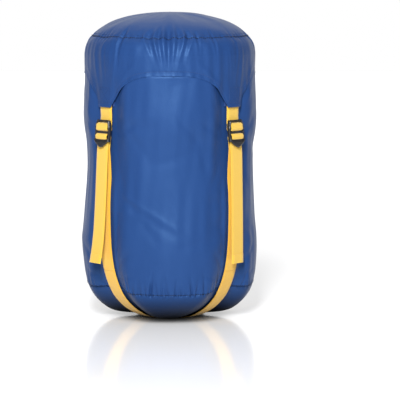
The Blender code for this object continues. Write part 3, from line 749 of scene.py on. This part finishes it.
def make_strap(corner, angle, materials):
    """One corner's webbing: tab, wrap, run, turn through the lock, tail and hem."""
    lock, tail, tail_end = "buckle_" + corner, "tail_" + corner, "tail_end_" + corner

    def lay(name, path, stands_for=None, material="webbing", **settings):
        """One stretch of this corner's webbing."""
        piece = dress(web_mesh(name + "_" + corner, path, angle, **settings), materials[material])
        if stands_for:
            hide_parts(stands_for + "_" + corner)
        return piece

    rest = 0.3 + WEB / 2
    heights = np.linspace(STRAP_TOP + 0.6, RUN_SPLIT, 12)
    run = [(float(strap_bed(height)) + rest, height) for height in heights]
    piece = lay("run", run, "strap_run", "shaded_webbing")
    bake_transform(piece)
    entry = lock_point(-0.6, TAIL_DROP)
    piece = lay("run_top", [(wall(RUN_SPLIT) + rest, RUN_SPLIT), (96.9, 168), (97.4, 184), entry],
                material="shaded_webbing")
    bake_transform(piece)

    loop = [(-0.6, TAIL_DROP), (-0.6, 26), (-0.6, 18.8), (0.1, 17.4), (2.2, 17.0), (4.7, 17.3), (5.6, 18.5),
            (5.6, 21.6), (4.8, 23.2), (2.7, 24.2), (TAIL_DEPTH, 25.6), (TAIL_DEPTH, 29.5)]
    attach(lay("lock_turn", [lock_point(*point) for point in loop], "strap_loop", step=0.45), lock)

    layer = WEB / 2 + 0.1
    wrap = [(layer, 1.0), (layer, 3.0), (2.4, 4.5), (4.8, 5.2), (5.6, 6.4), (5.6, 9), (5.6, 11.6), (4.8, 12.8),
            (2.6, 13.2), (0.4, 13.2), (-layer, 12.2), (-layer, 7), (-layer, 1.0)]
    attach(lay("tab_turn", [lock_point(*point) for point in wrap], "tab_wrap", step=0.45), lock)

    tab = [lock_point(0, 1.6), lock_point(0, -3)] + [(HINGE_RADIUS, height) for height in (245, 256, 278)]
    piece = lay("tab_web", tab, "tab_strap", thickness=2 * WEB)
    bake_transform(piece)

    exit_point = lock_point(TAIL_DEPTH, TAIL_DROP)
    lean = (math.sin(TAIL_LEAN), math.cos(TAIL_LEAN))
    bow, slant, flare = TAIL_HANGS.get(corner, BACK_TAIL_HANGS)

    def on_tail(down):
        """A point of the free tail, this far down it."""
        share = min(1.0, max(0.0, down - 5.5) / (TAIL_LENGTH - 5.5))
        out = bow * math.sin(math.pi * share) + slant * share + flare * share ** 4
        return (exit_point[0] + out * lean[1] + down * lean[0], exit_point[1] + out * lean[0] - down * lean[1])

    root = [lock_point(TAIL_DEPTH, 29.3), lock_point(TAIL_DEPTH, 31.5), exit_point, on_tail(6)]
    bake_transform(lay("tail_root", root))
    free = TAIL_LENGTH - HEM_LENGTH
    piece = lay("tail", [on_tail(down) for down in np.linspace(5.8, free, 8)], "strap_tail")
    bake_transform(piece)
    hem = [on_tail(free - 0.2), on_tail(free + 5), on_tail(free + HEM_LENGTH)]
    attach(lay("tail_hem", hem, "strap_hem", thickness=2 * WEB + 0.2), tail_end)


def moved_out(points, distance):
    """A line moved sideways, to the right of its direction."""
    points = np.array(points, float)
    slope = np.gradient(points, axis=0)
    slope = slope / np.linalg.norm(slope, axis=1)[:, None]
    return points + np.stack([slope[:, 1], -slope[:, 0]], 1) * distance


def make_bottom_straps(materials):
    """The two straps under the bottom, one stepping over the other."""
    outside = PANEL_HELD[4:-1] + [(float(strap_bed(z)), z) for z in (41, 46, 53, STRAP_TOP + 0.6)]
    side = moved_out(outside, 0.3 + WEB / 2)
    for name, angle, lifted in (("bottom_strap_a", 41, 0), ("bottom_strap_b", -41, 1)):
        middle = [(-16, 0.66), (-12.2, 2.2), (0, 2.25), (12.2, 2.2), (16, 0.66)] if lifted else (
            [(-10, 0.66), (0, 0.66), (10, 0.66)])
        half = np.concatenate([[(20, 0.66), (30, 0.7)], side])
        whole = np.concatenate([half[::-1] * (-1, 1), middle, half])
        piece = dress(web_mesh(name + "_web", whole, angle), materials["shaded_webbing"])
        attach(piece, "sack")
        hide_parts(name)


# --- ladder locks ------------------------------------------------------------

def add_block(bm, low, high, bevel):
    """A bevelled block between two corners."""
    made = bmesh.ops.create_cube(bm, size=1)["verts"]
    size = Vector(high) - Vector(low)
    middle = (Vector(high) + Vector(low)) / 2
    bmesh.ops.transform(bm, matrix=Matrix.Translation(middle) @ Matrix.Diagonal((*size, 1)), verts=made)
    edges = list({edge for vert in made for edge in vert.link_edges})
    bmesh.ops.bevel(bm, geom=edges, offset=bevel, segments=2, affect="EDGES", profile=0.5)


def lock_mesh():
    """The ladder lock in its own leaning frame: x outwards, y across, z up; in millimetres."""
    bm = bmesh.new()
    half = 12.9
    for side in (-1, 1):
        inner, outer = sorted((side * 10.35, side * half))
        add_block(bm, (1.5, inner, -26), (5.0, outer, -5.5), 0.7)
        add_block(bm, (1.5, inner, -7.0), (5.0, outer, -0.8), 0.7)
        add_block(bm, (2.6, inner, -12), (5.8, outer, -2.2), 0.9)
    for high, low, back, front in ((-0.8, -3.1, 1.7, 5.2), (-6.9, -11.6, 1.8, 4.8), (-14.6, -16.1, 1.9, 5.6),
                                   (-18.8, -21.9, 1.8, 4.8)):
        add_block(bm, (back, -11.5, low), (front, 11.5, high), 0.6)
    for vert in bm.verts:
        if vert.co.z > -4:
            vert.co.y *= 0.83
    rows = 9
    half = 12.3
    side = [(2.6, -22.6), (5.2, -22.0), (6.0, -25.0), (6.3, -31.8), (5.6, -32.8), (4.2, -32.2), (2.8, -27.4)]
    columns = []
    for number in range(rows):
        y = half * (2 * number / (rows - 1) - 1)
        pull = 7.4 * (abs(y) / half) ** 1.5
        columns.append([bm.verts.new((x, y, z + pull * float(smooth(-24, -32, z)))) for x, z in side])
    for left, right in zip(columns, columns[1:]):
        for index in range(len(side)):
            after = (index + 1) % len(side)
            bm.faces.new((left[index], left[after], right[after], right[index]))
    bm.faces.new(columns[0])
    bm.faces.new(columns[-1])
    for number in range(4):
        z = -27.2 - number * 1.25
        across = 7.6 - number * 1.7
        add_block(bm, (5.0, -across, z - 0.32), (6.6 + number * 0.08, across, z + 0.32), 0.25)
    bmesh.ops.recalc_face_normals(bm, faces=bm.faces[:])
    bmesh.ops.scale(bm, vec=(MM, MM, MM), verts=bm.verts[:])
    mesh = bpy.data.meshes.new("ladder_lock")
    bm.to_mesh(mesh)
    bm.free()
    return mesh


def make_locks(materials):
    """Four moulded ladder locks, rounded by a fine remesh."""
    raw = linked("lock_raw", lock_mesh())
    melt = raw.modifiers.new("Melt", "REMESH")
    melt.mode = "VOXEL"
    melt.voxel_size = 0.28 * MM
    soften = raw.modifiers.new("Soften", "SMOOTH")
    soften.factor = 0.5
    soften.iterations = 3
    thin = raw.modifiers.new("Thin", "DECIMATE")
    thin.ratio = 0.3
    apply_modifiers(raw)
    mesh = raw.data
    bpy.data.objects.remove(raw)
    mesh.shade_smooth()
    for corner, angle in CORNERS.items():
        turn = Matrix.Rotation(math.radians(angle), 4, "Z")
        place = Matrix.Translation(turn @ Vector((HINGE_RADIUS * MM, 0, HINGE_HEIGHT * MM)))
        piece = linked("lock_" + corner, mesh.copy())
        piece.data.transform(place @ turn @ Matrix.Rotation(-LOCK_LEAN, 4, "Y"))
        dress(piece, materials["plastic"])
        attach(piece, "buckle_" + corner)
        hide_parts("ladder_lock_" + corner)


# --- materials ---------------------------------------------------------------

def shader_of(name, settings):
    """A new material, its node tree and its Principled shader with these settings."""
    material = bpy.data.materials.new(name)
    material.use_nodes = True
    shader = material.node_tree.nodes["Principled BSDF"]
    for key, value in settings.items():
        shader.inputs[key].default_value = value
    return material, material.node_tree, shader


def node(tree, kind, **settings):
    """A new node with its properties or sockets set by name."""
    made = tree.nodes.new(kind)
    for key, value in settings.items():
        if key in made.inputs:
            made.inputs[key].default_value = value
        else:
            setattr(made, key, value)
    return made


def noise(tree, scale, detail, roughness=0.5):
    """Noise over the object's own place."""
    made = node(tree, "ShaderNodeTexNoise", Scale=scale, Detail=detail, Roughness=roughness)
    tree.links.new(node(tree, "ShaderNodeTexCoord").outputs["Object"], made.inputs["Vector"])
    return made.outputs["Fac"]


def parts(tree, place):
    """The three parts of a place."""
    split = node(tree, "ShaderNodeSeparateXYZ")
    tree.links.new(place, split.inputs[0])
    return split.outputs


def ramp(tree, value, low, high, start, end):
    """A socket's value made a soft step, from start at low to end at high."""
    made = node(tree, "ShaderNodeMapRange", interpolation_type="SMOOTHSTEP")
    for key, number in zip(("From Min", "From Max", "To Min", "To Max"), (low, high, start, end)):
        made.inputs[key].default_value = number
    tree.links.new(value, made.inputs["Value"])
    return made.outputs["Result"]


def mixed(tree, share, dark, light):
    """A colour between dark and light, by a socket's value."""
    made = node(tree, "ShaderNodeMix", data_type="RGBA")
    made.inputs["A"].default_value = (*dark, 1)
    made.inputs["B"].default_value = (*light, 1)
    tree.links.new(share, made.inputs["Factor"])
    return made.outputs["Result"]


def product(tree, one, other):
    """Two sockets' values multiplied."""
    made = node(tree, "ShaderNodeMath", operation="MULTIPLY")
    tree.links.new(one, made.inputs[0])
    tree.links.new(other, made.inputs[1])
    return made.outputs["Value"]


def bumped(tree, height, strength, distance):
    """The normal of a bump."""
    made = node(tree, "ShaderNodeBump", Strength=strength, Distance=distance)
    tree.links.new(height, made.inputs["Height"])
    return made.outputs["Normal"]


def threads(tree, uv, direction, scale, distortion):
    """Threads that run one way over the cloth's own coordinates."""
    wave = node(tree, "ShaderNodeTexWave", bands_direction=direction, Scale=scale, Distortion=distortion)
    wave.inputs["Detail"].default_value = 1.0
    tree.links.new(uv.outputs["UV"], wave.inputs["Vector"])
    return wave.outputs["Fac"]


# The nylon's gloss, and the heights in metres over which the painted shade at the bottom fades out
GLOSS = 0.42
SHADE_HEIGHTS = (0.003, 0.044)


def nylon_material(name, painted_shade):
    """Blue taffeta: a fine plain weave with slight unevenness; the bottom's copy has painted shade, darker and
    duller towards the floor.
    """
    material, tree, shader = shader_of(name, {"Roughness": 0.44, "Specular IOR Level": GLOSS,
                                              "Specular Tint": (0.28, 0.56, 1.0, 1)})
    link = tree.links.new
    uv = node(tree, "ShaderNodeUVMap", uv_map="UVMap")
    colour = mixed(tree, noise(tree, 9.0, 4.0, 0.55), (0.0110, 0.039, 0.142), (0.0165, 0.050, 0.170))
    # Painted shade: near the floor the colour fades to black and the gloss to none, standing in for the shade
    # under the sack
    if painted_shade:
        up = parts(tree, node(tree, "ShaderNodeTexCoord").outputs["Object"])["Z"]
        low = ramp(tree, up, *SHADE_HEIGHTS, 0.0, 1.0)
        darker = mixed(tree, low, (0.0, 0.0, 0.0), (0.0, 0.0, 0.0))
        link(colour, darker.node.inputs["B"])
        colour = darker
        link(ramp(tree, up, *SHADE_HEIGHTS, 0.0, GLOSS), shader.inputs["Specular IOR Level"])
    link(colour, shader.inputs["Base Color"])
    cross = product(tree, threads(tree, uv, "X", 700.0, 0.4), threads(tree, uv, "Y", 700.0, 0.4))
    fine = bumped(tree, cross, 0.22, 0.0001)
    link(bumped(tree, noise(tree, 75.0, 5.0, 0.6), 0.28, 0.0012), fine.node.inputs["Normal"])
    link(fine, shader.inputs["Normal"])
    return material


def webbing_material(name, dark, light):
    """Yellow polyester webbing: ribs across and cords along."""
    material, tree, shader = shader_of(name, {"Roughness": 0.7, "Sheen Weight": 0.4, "Sheen Roughness": 0.5})
    uv = node(tree, "ShaderNodeUVMap", uv_map="UVMap")
    both = product(tree, threads(tree, uv, "Y", 270.0, 0.25), threads(tree, uv, "X", 190.0, 0.3))
    tree.links.new(mixed(tree, both, dark, light), shader.inputs["Base Color"])
    tree.links.new(bumped(tree, both, 0.6, 0.0003), shader.inputs["Normal"])
    return material


def grainy_material(name, dark, light, roughness, metallic=0.0, scale=300.0, detail=4.0, bump=(0.2, 0.0003)):
    """A quiet material with a little grain."""
    material, tree, shader = shader_of(name, {"Roughness": roughness, "Metallic": metallic})
    grain = noise(tree, scale, detail)
    tree.links.new(mixed(tree, grain, dark, light), shader.inputs["Base Color"])
    tree.links.new(bumped(tree, grain, *bump), shader.inputs["Normal"])
    return material


def plain_material(name, colour, roughness, metallic=0.0, scale=300.0):
    """A grainy material of one colour, for thread, cord, steel and what is inside."""
    return grainy_material(name, [0.8 * part for part in colour], colour, roughness, metallic, scale)


# --- stage -------------------------------------------------------------------

CAMERA_DISTANCE = 2.6
CAMERA_HEIGHT = 0.41
CAMERA_SIDE = 0.035
AIM_HEIGHT = 0.1358
LENS = 199.6
BACKDROP = (0.50, 0.80)
ROOM_LIGHT = 0.18
SUN = 0.50
LIGHTS = [("front_softbox", (-0.15, -2.1, 1.35), (0, 0, 0.17), (0.3, 1.2), 88)]


def make_stage():
    """White floor and surroundings, soft lights and the camera."""
    scene = bpy.context.scene
    scene.view_settings.view_transform = "Standard"
    world = bpy.data.worlds.new("white_studio")
    world.use_nodes = True
    tree = world.node_tree
    away = parts(tree, node(tree, "ShaderNodeTexCoord").outputs["Generated"])["Y"]
    backdrop = ramp(tree, away, *BACKDROP, ROOM_LIGHT, 1.0)
    tree.links.new(backdrop, tree.nodes["Background"].inputs["Strength"])
    tree.nodes["Background"].inputs["Color"].default_value = (1, 1, 1, 1)
    scene.world = world
    mesh = bpy.data.meshes.new("floor")
    mesh.from_pydata([(-4, -4, 0), (4, -4, 0), (4, 6, 0), (-4, 6, 0)], [], [(0, 1, 2, 3)])
    floor = linked("floor", mesh)
    material, tree, shader = shader_of("white_acrylic", {"Roughness": 0.12, "Emission Color": (1, 1, 1, 1)})
    place = node(tree, "ShaderNodeTexCoord").outputs["Object"]
    glow = ramp(tree, parts(tree, place)["Y"], 0.1, 1.6, 0.18, 0.5)
    reach = node(tree, "ShaderNodeVectorMath", operation="LENGTH")
    tree.links.new(place, reach.inputs[0])
    # Under the sack the floor is dark, as in its own shade
    open_floor = ramp(tree, reach.outputs["Value"], 0.03, 0.085, 0.0, 1.0)
    tree.links.new(product(tree, glow, open_floor), shader.inputs["Emission Strength"])
    tone = mixed(tree, open_floor, (0.03, 0.03, 0.035), (0.80, 0.80, 0.81))
    tree.links.new(tone, shader.inputs["Base Color"])
    floor.data.materials.append(material)
    for name, place, aim, size, power in LIGHTS:
        light = bpy.data.lights.new(name, "AREA")
        light.shape = "RECTANGLE"
        light.size, light.size_y = size
        light.energy = power
        lamp = linked(name, light)
        lamp.location = place
        lamp.rotation_euler = (Vector(aim) - Vector(place)).to_track_quat("-Z", "Y").to_euler()
    light = bpy.data.lights.new("overhead", "SUN")
    light.energy = SUN
    light.angle = math.radians(70)
    lamp = linked("overhead", light)
    lamp.rotation_euler = Vector((0, -0.35, -1)).to_track_quat("-Z", "Y").to_euler()
    data = bpy.data.cameras.new("camera")
    data.lens = LENS
    data.sensor_width = 36
    camera = linked("camera", data)
    camera.location = (CAMERA_SIDE, -CAMERA_DISTANCE, CAMERA_HEIGHT)
    aim = Vector((CAMERA_SIDE, 0, AIM_HEIGHT)) - camera.location
    camera.rotation_euler = aim.to_track_quat("-Z", "Y").to_euler()
    scene.camera = camera


def dress_frame(materials):
    """Materials for the CAD nodes that stay."""
    for name, key in (("drawcord", "cord"), ("drawcord_knot", "cord"), ("drawcord_eyelet", "steel"),
                      ("cord_lock_body", "plastic"), ("cord_lock_button", "plastic")):
        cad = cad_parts[name]
        cad.data.materials.clear()
        cad.data.materials.append(materials[key])


def main():
    """Make every piece around the frame."""
    make_stage()
    materials = {
        # The bottom's nylon carries painted shade towards the floor
        "nylon": nylon_material("blue_nylon", False), "nylon_low": nylon_material("blue_nylon_bottom", True),
        "webbing": webbing_material("yellow_webbing", (0.67, 0.40, 0.022), (0.76, 0.52, 0.068)),
        # Painted shade: a darker, more orange copy of the webbing for the runs and the bottom straps, standing
        # in for the shade and bounced light on them
        "shaded_webbing": webbing_material("yellow_webbing_shaded", (0.72, 0.385, 0.010), (0.80, 0.49, 0.024)),
        "plastic": grainy_material("black_plastic", (0.010, 0.010, 0.012), (0.018, 0.018, 0.020), 0.34,
                                   scale=900.0, detail=3.0, bump=(0.12, 0.0002)),
        "nylon_plain": plain_material("nylon_inside", (0.035, 0.08, 0.27), 0.5),
        "blue_thread": plain_material("blue_thread", (0.012, 0.045, 0.17), 0.6, scale=900.0),
        # Partly painted shade: real seam thread, with the shade of its needle holes and of the seam painted
        # into a near-black colour
        "shaded_seam_thread": plain_material("blue_seam_thread", (0.002, 0.006, 0.028), 0.8, scale=900.0),
        "load": plain_material("load_weave", (0.18, 0.19, 0.22), 0.9),
        "cord": plain_material("drawcord_braid", (0.02, 0.02, 0.022), 0.8, scale=1200.0),
        "steel": plain_material("bright_steel", (0.6, 0.6, 0.62), 0.3, 1.0),
    }
    dress_frame(materials)
    make_load(materials)
    make_tube(materials)
    make_bottom(materials)
    make_mouth(materials)
    soft_copies(materials)
    make_spring(materials)
    make_skirt(materials)
    make_lid_top(materials)
    make_seam_tapes(materials)
    make_lid_stitches(materials)
    make_bottom_stitches(materials)
    make_bottom_straps(materials)
    for corner, angle in CORNERS.items():
        make_strap(corner, angle, materials)
    make_locks(materials)


main()
